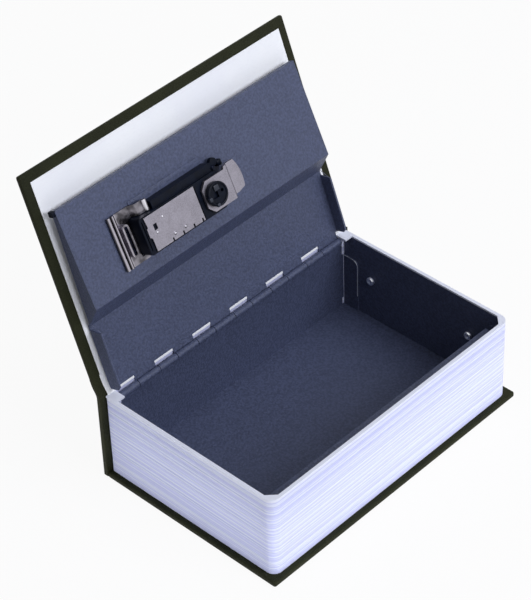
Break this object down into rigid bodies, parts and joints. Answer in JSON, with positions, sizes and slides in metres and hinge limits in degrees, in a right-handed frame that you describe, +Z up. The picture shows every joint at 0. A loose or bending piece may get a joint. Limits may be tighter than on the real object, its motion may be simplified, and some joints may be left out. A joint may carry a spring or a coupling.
{
  "type": "book diversion safe",
  "caption": "Hardback-shaped diversion safe: steel cash box in a moulded page block, with a combination-lock steel lid on a rolled hinge under a fold-back cover.",
  "frame": {"origin": "middle of the closed book's footprint, on the underside of the back board", "axes": "+Z up; -X is the spine and +X the fore edge; +Y runs along the spine towards the head of the book"},
  "size_m": [0.1597, 0.18, 0.1656],
  "materials": {
    "book_cloth": "fine-grained dark olive leatherette",
    "endpaper": "matt white paper",
    "page_plastic": "satin white, moulded with page lines",
    "powder_coat": "orange-peel slate-blue powder coat",
    "nickel": "satin nickel plate",
    "bare_steel": "zinc-bright steel",
    "black_plastic": "semi-gloss black moulding"
  },
  "bodies": {
    "box": {"back_board": "book_cloth", "spine_board": "book_cloth", "spine_endpaper": "endpaper", "page_block": "page_plastic", "steel_box": "powder_coat", "hinge_pin": "bare_steel"},
    "lid": {"lid_panel": "powder_coat", "lock_housing": "black_plastic", "lock_face_plate": "nickel", "lock_inner_plate": "nickel", "lock_bracket": "nickel", "wheel_axle": "bare_steel", "detent_spring": "bare_steel"},
    "lever": {"code_lever": "black_plastic"},
    "knob": {"turn_knob": "black_plastic", "lock_cam": "nickel", "cam_cap": "black_plastic"},
    "wheel_1": {"number_wheel_1": "black_plastic", "code_disc_1": "bare_steel"},
    "wheel_2": {"number_wheel_2": "black_plastic", "code_disc_2": "bare_steel"},
    "wheel_3": {"number_wheel_3": "black_plastic", "code_disc_3": "bare_steel"},
    "cloth_joint": {"joint_cloth": "book_cloth", "joint_endpaper": "endpaper"},
    "cover": {"front_board": "book_cloth", "front_endpaper": "endpaper"}
  },
  "joints": [
    {"name": "lid_hinge", "type": "hinge", "parent": "box", "child": "lid", "pos_m": [-0.0527, 0, 0.0492], "axis": [0, 1, 0], "range_deg": [0, 110]},
    {"name": "joint_fold", "type": "hinge", "parent": "box", "child": "cloth_joint", "pos_m": [-0.0597, 0, 0.0546], "axis": [0, 1, 0], "range_deg": [0, 110.3]},
    {"name": "cover_fold", "type": "hinge", "parent": "cloth_joint", "child": "cover", "pos_m": [-0.06331, 0, 0.06233], "axis": [0, -1, 0], "range_deg": [0, 90]},
    {"name": "knob_turn", "type": "hinge", "parent": "lid", "child": "knob", "pos_m": [-0.07002, 0, 0.11867], "axis": [0.9007, 0, 0.4345], "range_deg": [0, 90]},
    {"name": "wheel_1_spin", "type": "hinge", "parent": "lid", "child": "wheel_1", "pos_m": [-0.06876, -0.0279, 0.11927], "axis": [0, 1, 0], "continuous": true},
    {"name": "wheel_2_spin", "type": "hinge", "parent": "lid", "child": "wheel_2", "pos_m": [-0.06876, -0.0208, 0.11927], "axis": [0, 1, 0], "continuous": true},
    {"name": "wheel_3_spin", "type": "hinge", "parent": "lid", "child": "wheel_3", "pos_m": [-0.06876, -0.0137, 0.11927], "axis": [0, 1, 0], "continuous": true},
    {"name": "code_lever_slide", "type": "slide", "parent": "lid", "child": "lever", "axis": [0, -1, 0], "range_m": [0, 0.0018]}
  ],
  "couplings": [
    {"joint": "joint_fold", "follows": "lid_hinge", "ratio": 1.0027}
  ]
}
